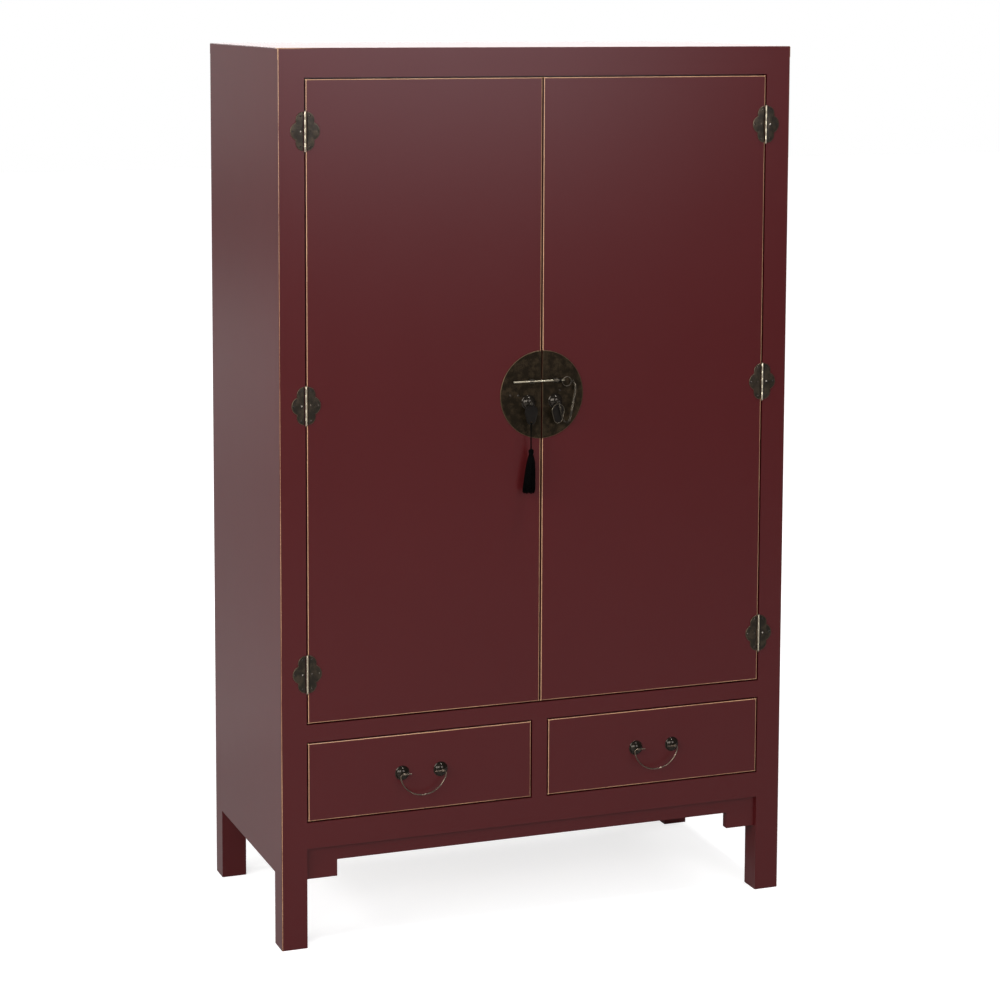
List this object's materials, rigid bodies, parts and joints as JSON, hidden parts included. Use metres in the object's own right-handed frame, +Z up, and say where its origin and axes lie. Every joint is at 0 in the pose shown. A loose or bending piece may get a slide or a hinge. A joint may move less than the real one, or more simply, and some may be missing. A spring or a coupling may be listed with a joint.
{
  "type": "wedding cabinet",
  "caption": "Tall lacquered cabinet with doors over drawers, on straight legs, with a round brass lock plate, sliding lock pin, lobed hinges, bail handles and a tassel.",
  "frame": {"origin": "on the floor, under the middle of the cabinet with its door furniture", "axes": "+X to the right seen from the front, +Y from front to back, +Z up"},
  "size_m": [0.98, 0.488, 1.6],
  "materials": {
    "burgundy_lacquer": "satin burgundy lacquer with worn gilt edges",
    "inner_wood": "plain stained softwood",
    "aged_bronze": "dark brown-green patina, rubbed at the rims",
    "worn_brass": "bright worn brass",
    "black_thread": "matt black silk thread"
  },
  "bodies": {
    "carcass": {"left_front_leg": "burgundy_lacquer", "right_front_leg": "burgundy_lacquer", "left_back_leg": "burgundy_lacquer", "right_back_leg": "burgundy_lacquer", "left_side_panel": "burgundy_lacquer", "right_side_panel": "burgundy_lacquer", "back_panel": "inner_wood", "top_board": "burgundy_lacquer", "top_rail": "burgundy_lacquer", "middle_rail": "burgundy_lacquer", "bottom_rail": "burgundy_lacquer", "back_rails": "inner_wood", "drawer_divider": "burgundy_lacquer", "front_apron": "burgundy_lacquer", "wardrobe_floor": "inner_wood", "shelves": "inner_wood", "shelf_battens": "inner_wood", "drawer_runners": "inner_wood", "door_stops": "inner_wood", "left_hinge_frame_leaves": "aged_bronze", "right_hinge_frame_leaves": "aged_bronze", "hinge_pins": "worn_brass", "hinge_frame_nails": "worn_brass"},
    "left_door": {"left_door_panel": "burgundy_lacquer", "left_door_battens": "inner_wood", "left_hinge_door_leaves": "aged_bronze", "left_door_nails": "worn_brass", "left_lock_plate": "aged_bronze", "left_pendant_boss": "aged_bronze", "left_door_split_pins": "worn_brass"},
    "left_pendant": {"left_pendant": "aged_bronze"},
    "left_drawer": {"left_drawer_front": "burgundy_lacquer", "left_drawer_sides": "inner_wood", "left_drawer_back": "inner_wood", "left_drawer_bottom": "inner_wood", "left_drawer_bosses": "aged_bronze", "left_drawer_split_pins": "worn_brass"},
    "left_bail": {"left_drawer_bail": "worn_brass"},
    "right_door": {"right_door_panel": "burgundy_lacquer", "right_door_battens": "inner_wood", "right_hinge_door_leaves": "aged_bronze", "right_door_nails": "worn_brass", "right_lock_plate": "aged_bronze", "right_pendant_boss": "aged_bronze", "right_door_split_pins": "worn_brass", "lock_chain": "worn_brass"},
    "right_pendant": {"right_pendant": "aged_bronze"},
    "right_drawer": {"right_drawer_front": "burgundy_lacquer", "right_drawer_sides": "inner_wood", "right_drawer_back": "inner_wood", "right_drawer_bottom": "inner_wood", "right_drawer_bosses": "aged_bronze", "right_drawer_split_pins": "worn_brass"},
    "right_bail": {"right_drawer_bail": "worn_brass"},
    "lock_pin": {"lock_pin": "worn_brass", "lock_ring": "worn_brass"},
    "tassel": {"tassel_cord": "black_thread", "tassel_head": "black_thread", "tassel_skirt": "black_thread"}
  },
  "joints": [
    {"name": "right_door_swing", "type": "hinge", "parent": "carcass", "child": "right_door", "pos_m": [0.44175, -0.2181, 0.97825], "axis": [0, 0, 1], "range_deg": [0, 120]},
    {"name": "left_door_swing", "type": "hinge", "parent": "carcass", "child": "left_door", "pos_m": [-0.44175, -0.2181, 0.97825], "axis": [0, 0, -1], "range_deg": [0, 120]},
    {"name": "lock_pin_slide", "type": "slide", "parent": "right_door", "child": "lock_pin", "axis": [1, 0, 0], "range_m": [0, 0.062], "deforming": ["lock_chain"]},
    {"name": "left_pendant_swing", "type": "hinge", "parent": "left_door", "child": "left_pendant", "pos_m": [-0.026, -0.2318, 0.96325], "axis": [-1, 0, 0], "range_deg": [0, 80]},
    {"name": "right_pendant_swing", "type": "hinge", "parent": "right_door", "child": "right_pendant", "pos_m": [0.026, -0.2318, 0.96325], "axis": [-1, 0, 0], "range_deg": [0, 80]},
    {"name": "tassel_swing", "type": "hinge", "parent": "left_pendant", "child": "tassel", "pos_m": [-0.026, -0.2318, 0.92525], "axis": [-1, 0, 0], "range_deg": [-80, 0]},
    {"name": "left_drawer_slide", "type": "slide", "parent": "carcass", "child": "left_drawer", "axis": [0, -1, 0], "range_m": [0, 0.3]},
    {"name": "left_bail_swing", "type": "hinge", "parent": "left_drawer", "child": "left_bail", "pos_m": [-0.22875, -0.2281, 0.30275], "axis": [-1, 0, 0], "range_deg": [0, 100]},
    {"name": "right_drawer_slide", "type": "slide", "parent": "carcass", "child": "right_drawer", "axis": [0, -1, 0], "range_m": [0, 0.3]},
    {"name": "right_bail_swing", "type": "hinge", "parent": "right_drawer", "child": "right_bail", "pos_m": [0.22875, -0.2281, 0.30275], "axis": [-1, 0, 0], "range_deg": [0, 100]}
  ],
  "couplings": [
    {"joint": "left_door_swing", "follows": "right_door_swing", "ratio": 1},
    {"joint": "tassel_swing", "follows": "left_pendant_swing", "ratio": -1}
  ]
}
